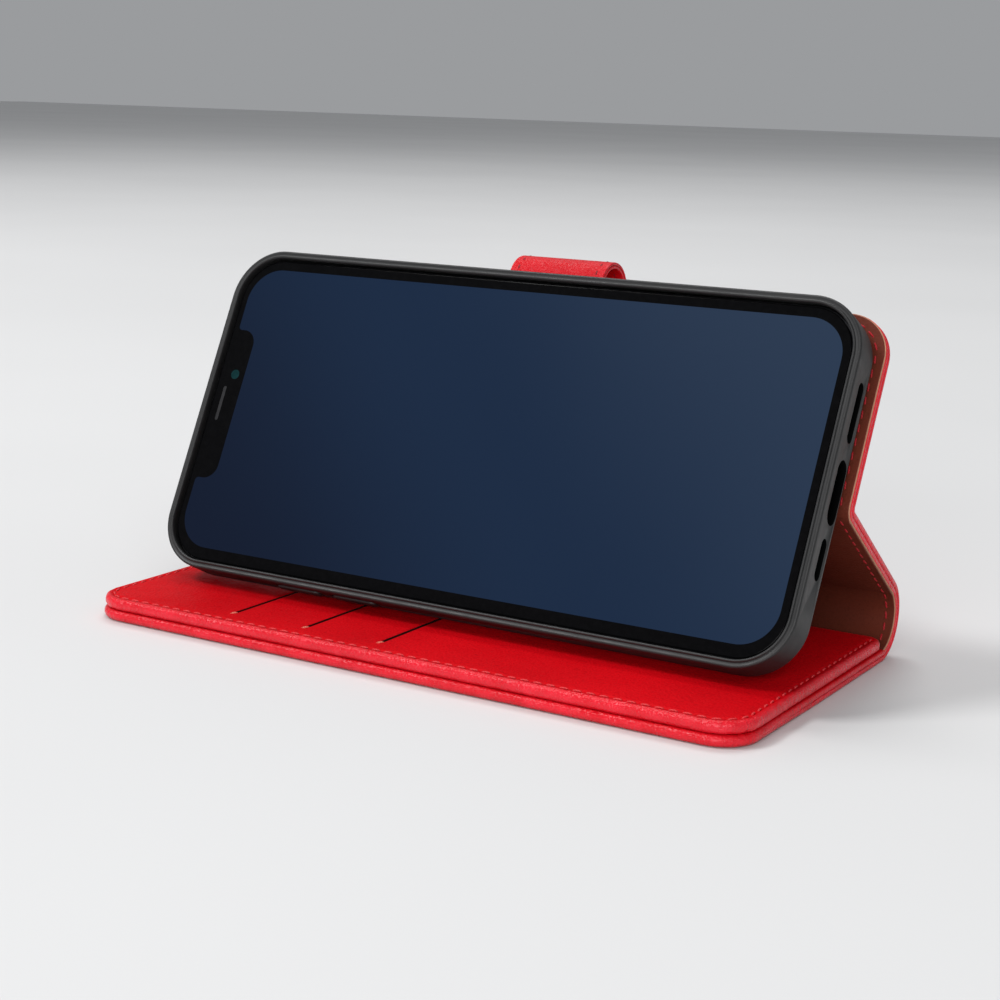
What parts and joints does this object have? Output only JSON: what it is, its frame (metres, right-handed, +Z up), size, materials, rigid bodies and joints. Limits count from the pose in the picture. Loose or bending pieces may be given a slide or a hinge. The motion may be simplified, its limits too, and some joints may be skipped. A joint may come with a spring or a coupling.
{
  "type": "phone wallet case",
  "caption": "Folio wallet case in soft imitation leather, standing in landscape with a phone in its moulded tray, card slots in the front cover and a magnetic strap.",
  "frame": {"origin": "middle of the footprint's bounding box, on the surface that the case stands on", "axes": "+X along the case's long side, to the right as the screen is seen, +Y away from the viewer, +Z up"},
  "size_m": [0.1526, 0.0788, 0.0771],
  "materials": {
    "red_leather": "fine-grained satin imitation leather",
    "lining_leather": "soft matt brown lining",
    "thread": "polyester thread",
    "tray_shell": "smoke grey soft moulded shell, satin",
    "board": "grey board",
    "pocket_cloth": "plain woven pocket cloth",
    "steel": "zinc plated",
    "magnet": "nickel plated",
    "adhesive": "foam adhesive",
    "phone_metal": "dark anodised",
    "phone_black_glass": "polished",
    "phone_screen": "lit display with an abstract pattern",
    "phone_lens": "coated lens"
  },
  "bodies": {
    "front_cover": {"front_cover_outer_skin": "red_leather", "front_cover_board": "board", "front_cover_magnet_plate": "steel", "front_cover_inner_panel": "red_leather", "card_pocket_lining_1": "pocket_cloth", "card_pocket_lining_2": "pocket_cloth", "card_pocket_lining_3": "pocket_cloth", "cash_pocket_lining": "pocket_cloth", "front_cover_stitching": "thread"},
    "spine": {"spine_outer_skin": "red_leather", "spine_stiffener": "board", "spine_lining": "lining_leather", "spine_fold_front": "red_leather", "spine_fold_back": "lining_leather"},
    "lower_back": {"lower_back_outer_skin": "red_leather", "lower_back_board": "board", "lower_back_lining": "lining_leather", "lower_back_stitching": "thread"},
    "upper_back": {"upper_back_outer_skin": "red_leather", "upper_back_board": "board", "upper_back_lining": "lining_leather", "upper_back_stitching": "thread", "stand_crease_fold": "lining_leather", "tray_bonding_pad": "adhesive", "phone_tray": "tray_shell", "strap_anchor": "red_leather"},
    "strap_arch": {"strap_root_fold": "red_leather", "strap_arch_inner_leather": "red_leather", "strap_arch_outer_leather": "red_leather", "strap_arch_stitching": "thread"},
    "strap_flap": {"strap_flap_inner_leather": "red_leather", "strap_flap_outer_leather": "red_leather", "strap_flap_stitching": "thread", "strap_magnets": "magnet"},
    "power_button_pad": {"power_button_pad": "tray_shell"},
    "volume_up_pad": {"volume_up_pad": "tray_shell"},
    "volume_down_pad": {"volume_down_pad": "tray_shell"},
    "phone": {"phone_frame": "phone_metal", "phone_back_glass": "phone_black_glass", "phone_front_glass": "phone_black_glass", "phone_display": "phone_screen", "phone_front_camera": "phone_lens", "phone_earpiece": "phone_black_glass", "phone_camera_island": "phone_metal", "phone_camera_lenses": "phone_lens", "phone_port_tongue": "phone_metal"},
    "phone_power_button": {"phone_power_button": "phone_metal"},
    "phone_volume_up_button": {"phone_volume_up_button": "phone_metal"},
    "phone_volume_down_button": {"phone_volume_down_button": "phone_metal"}
  },
  "joints": [
    {"name": "front_cover_hinge", "type": "hinge", "parent": "front_cover", "child": "spine", "pos_m": [0, 0.03441, 0.00353], "axis": [1, 0, 0], "range_deg": [-76, 0]},
    {"name": "spine_hinge", "type": "hinge", "parent": "spine", "child": "lower_back", "pos_m": [0, 0.03693, 0.01363], "axis": [1, 0, 0], "range_deg": [-68.27, 0]},
    {"name": "stand_crease", "type": "hinge", "parent": "lower_back", "child": "upper_back", "pos_m": [0, 0.00674, 0.03535], "axis": [1, 0, 0], "range_deg": [0, 80.49]},
    {"name": "strap_root_hinge", "type": "hinge", "parent": "upper_back", "child": "strap_arch", "pos_m": [0.00135, 0.02493, 0.07232], "axis": [1, 0, 0], "range_deg": [0, 60]},
    {"name": "strap_flap_hinge", "type": "hinge", "parent": "strap_arch", "child": "strap_flap", "pos_m": [0.00135, 0.03485, 0.07101], "axis": [1, 0, 0], "range_deg": [0, 75]},
    {"name": "phone_slide", "type": "slide", "parent": "upper_back", "child": "phone", "axis": [0, -0.8973, 0.4415], "range_m": [0, 0.03]},
    {"name": "power_button_press", "type": "slide", "parent": "upper_back", "child": "power_button_pad", "axis": [0, -0.4415, -0.8973], "range_m": [0, 0.0003], "stiffness_N_per_m": 400},
    {"name": "phone_power_button_press", "type": "slide", "parent": "phone", "child": "phone_power_button", "axis": [0, -0.4415, -0.8973], "range_m": [0, 0.00024], "stiffness_N_per_m": 400},
    {"name": "volume_up_press", "type": "slide", "parent": "upper_back", "child": "volume_up_pad", "axis": [0, 0.4415, 0.8973], "range_m": [0, 0.0003], "stiffness_N_per_m": 400},
    {"name": "phone_volume_up_button_press", "type": "slide", "parent": "phone", "child": "phone_volume_up_button", "axis": [0, 0.4415, 0.8973], "range_m": [0, 0.00024], "stiffness_N_per_m": 400},
    {"name": "volume_down_press", "type": "slide", "parent": "upper_back", "child": "volume_down_pad", "axis": [0, 0.4415, 0.8973], "range_m": [0, 0.0003], "stiffness_N_per_m": 400},
    {"name": "phone_volume_down_button_press", "type": "slide", "parent": "phone", "child": "phone_volume_down_button", "axis": [0, 0.4415, 0.8973], "range_m": [0, 0.00024], "stiffness_N_per_m": 400}
  ],
  "couplings": [
    {"joint": "stand_crease", "follows": "spine_hinge", "ratio": -1.1787},
    {"joint": "phone_power_button_press", "follows": "power_button_press", "ratio": 0.8},
    {"joint": "phone_volume_up_button_press", "follows": "volume_up_press", "ratio": 0.8},
    {"joint": "phone_volume_down_button_press", "follows": "volume_down_press", "ratio": 0.8}
  ]
}
